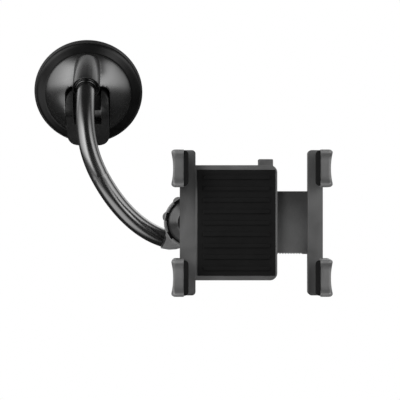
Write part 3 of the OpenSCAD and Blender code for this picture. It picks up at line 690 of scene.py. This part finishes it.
# %% [markdown]
# The rest of each jaw is its bar, and on the sliding side the toothed tongue. Both are right as
# they are in the exact model, so a copy of each jaw is welded and its square fingers are cut
# away with two planes. The cuts are filled, and a bevel softens what is left.

# %% The jaw bars
BAR_OUTER = 38.5
BAR_FRONT = 1.5
BAR_ROUND = 0.45


def to_millimetres(bm):
    """Takes a bmesh in the frame's metres to millimetres about the clamp's middle."""
    bmesh.ops.translate(bm, vec=-CLAMP_MIDDLE, verts=bm.verts)
    bmesh.ops.scale(bm, vec=(1 / MM, 1 / MM, 1 / MM), verts=bm.verts)


def jaw_bar(name, node, side, body):
    """A copy of a jaw without its fingers, cut outside the bar and in front of it."""
    bm = bmesh.new()
    bm.from_mesh(nodes[node].data)
    bmesh.ops.remove_doubles(bm, verts=bm.verts, dist=WELD_AT)
    cuts = (
        (CLAMP_MIDDLE + Vector((side * BAR_OUTER * MM, 0, 0)), Vector((side, 0, 0))),
        (CLAMP_MIDDLE + Vector((0, BAR_FRONT * MM, 0)), Vector((0, -1, 0))),
    )
    for place, way in cuts:
        cut = bmesh.ops.bisect_plane(
            bm, geom=bm.verts[:] + bm.edges[:] + bm.faces[:], plane_co=place, plane_no=way,
            clear_outer=True)
        rim = [g for g in cut["geom_cut"] if isinstance(g, bmesh.types.BMEdge) and g.is_boundary]
        bmesh.ops.holes_fill(bm, edges=rim, sides=0)
    bmesh.ops.dissolve_limit(bm, angle_limit=math.radians(1), verts=bm.verts, edges=bm.edges)
    bevel(bm, sharp_edges(bm), BAR_ROUND * MM, 2)
    bmesh.ops.triangulate(bm, faces=bm.faces)
    to_millimetres(bm)
    made = weighted(finished(name, bm, clamp_grey, body))
    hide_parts(node)
    return made


for side, hand, jaw, body in SIDES:
    jaw_bar(f"jaw_bar_{jaw}", f"{jaw}_jaw", side, body)

# %% [markdown]
# The phone rests on a soft pad. Long shallow ribs give it grip and let air behind the phone, so
# the pad is a thin rounded slab with rows of low rounded bars moulded on its face.

# %% The ribbed rest pad
PAD_LEFT, PAD_RIGHT = -29.0, 13.0
PAD_FRONT, PAD_BACK = 0.75, 1.55
PAD_HALF = 28.5
RIBS = 9
RIB_FRONT, RIB_BACK = 0.0, 1.0
RIB_HALF = 1.3
RIB_END_GAP = 3
RIB_EDGE_GAP = 4


def rounded_bar(bm, low, high, radius, segments=3):
    """Adds a box between two corners with every edge rounded."""
    size = Vector(high) - Vector(low)
    middle = (Vector(high) + Vector(low)) / 2
    made = bmesh.ops.create_cube(bm, size=1)
    bmesh.ops.scale(bm, vec=size, verts=made["verts"])
    bmesh.ops.translate(bm, vec=middle, verts=made["verts"])
    edges = {e for v in made["verts"] for e in v.link_edges}
    bevel(bm, list(edges), radius, segments)


bm = bmesh.new()
rounded_bar(bm, (PAD_LEFT, PAD_FRONT, -PAD_HALF), (PAD_RIGHT, PAD_BACK, PAD_HALF), 0.35)
pitch = 2 * (PAD_HALF - RIB_EDGE_GAP) / (RIBS - 1)
for k in range(RIBS):
    level = -PAD_HALF + RIB_EDGE_GAP + k * pitch
    low = (PAD_LEFT + RIB_END_GAP, RIB_FRONT, level - RIB_HALF)
    high = (PAD_RIGHT - RIB_END_GAP, RIB_BACK, level + RIB_HALF)
    rounded_bar(bm, low, high, 0.45)
rest_pad = weighted(finished("rest_pad", bm, rubber, "cradle"))
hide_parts("cushion")

# %% [markdown]
# The collar in the mouth of the socket has two rounded ribs, one inside the other, which catch
# the light as thin arcs. Its profile is spun once round the socket's axis and then set in place.

# %% The ribbed collar
MOUTH = Vector((0.001275, -0.036514, -0.000823))
MOUTH_WAY = Vector((0.0251, -0.7190, -0.6946)).normalized()
COLLAR_STEPS = 72
COLLAR_PROFILE = (
    (5.36, -2.6), (6.96, -2.6), (6.96, -0.5), (6.88, -0.2), (6.7, 0.0), (6.5, -0.05),
    (6.36, -0.3), (6.3, -0.7), (6.16, -0.7), (6.1, 0.1), (5.98, 0.5), (5.78, 0.7), (5.56, 0.66),
    (5.4, 0.4), (5.36, 0.1))
bm = bmesh.new()
corners = [bm.verts.new((r, 0, h)) for r, h in COLLAR_PROFILE]
loop = [bm.edges.new((corners[i - 1], corners[i])) for i in range(len(corners))]
bmesh.ops.spin(
    bm, geom=corners + loop, cent=(0, 0, 0), axis=(0, 0, 1), angle=math.tau, steps=COLLAR_STEPS,
    use_merge=True)
bmesh.ops.recalc_face_normals(bm, faces=bm.faces)
turn = MOUTH_WAY.to_track_quat("Z", "Y").to_matrix().to_4x4()
bmesh.ops.transform(bm, matrix=turn, verts=bm.verts)
bmesh.ops.translate(bm, verts=bm.verts, vec=(MOUTH - CLAMP_MIDDLE) / MM)
collar = finished("ribbed_collar", bm, collar_black, "base")
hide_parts("root_ferrule")

# %% [markdown]
# The springs inside the clamp shorten as the jaw closes and as the button goes down. A copy of each
# spring is welded and takes the exact spring's place.


def working_spring(name, node):
    """A welded copy of a spring, which takes the exact spring's place on the cradle."""
    bm = bmesh.new()
    bm.from_mesh(nodes[node].data)
    bmesh.ops.remove_doubles(bm, verts=bm.verts, dist=WELD_AT)
    to_millimetres(bm)
    made = finished(name, bm, spring_wire, "cradle")
    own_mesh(made)
    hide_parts(node)
    return made


working_spring("springs_of_jaw", "jaw_springs")
working_spring("spring_of_button", "button_spring")

# %% [markdown]
# The sleeve is the one piece that truly bends. Two hinges inside it stand in for the bend, so it is
# split in two at its middle. Both halves start from the exact sleeve, welded and cut, so they meet
# ring to ring.

# %% The bending sleeve
SPLIT_AT = Vector((0.0114, -0.0624, -0.0535))
SPLIT_WAY = Vector((0.48, -0.06, -0.875)).normalized()


def half_sleeve(name, keep_upper):
    """A copy of the sleeve on one side of the split, welded and smooth."""
    bm = bmesh.new()
    bm.from_mesh(nodes["arm_sleeve"].data)
    bmesh.ops.remove_doubles(bm, verts=bm.verts, dist=WELD_AT)
    bmesh.ops.bisect_plane(
        bm, geom=bm.verts[:] + bm.edges[:] + bm.faces[:], plane_co=SPLIT_AT, plane_no=SPLIT_WAY,
        clear_outer=keep_upper, clear_inner=not keep_upper)
    mesh = bpy.data.meshes.new(name)
    bm.to_mesh(mesh)
    bm.free()
    for polygon in mesh.polygons:
        polygon.use_smooth = True
    mesh.materials.append(sleeve_gloss)
    made = bpy.data.objects.new(name, mesh)
    scene.collection.objects.link(made)
    print(name, len(mesh.vertices), "vertices")
    return made


lower_sleeve = half_sleeve("sleeve_lower", True)
upper_sleeve = half_sleeve("sleeve_upper", False)
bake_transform(lower_sleeve)
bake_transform(upper_sleeve)
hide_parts("arm_sleeve")
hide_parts("arm_sleeve")

# %% [markdown]

# %% Finish
print("scene built")
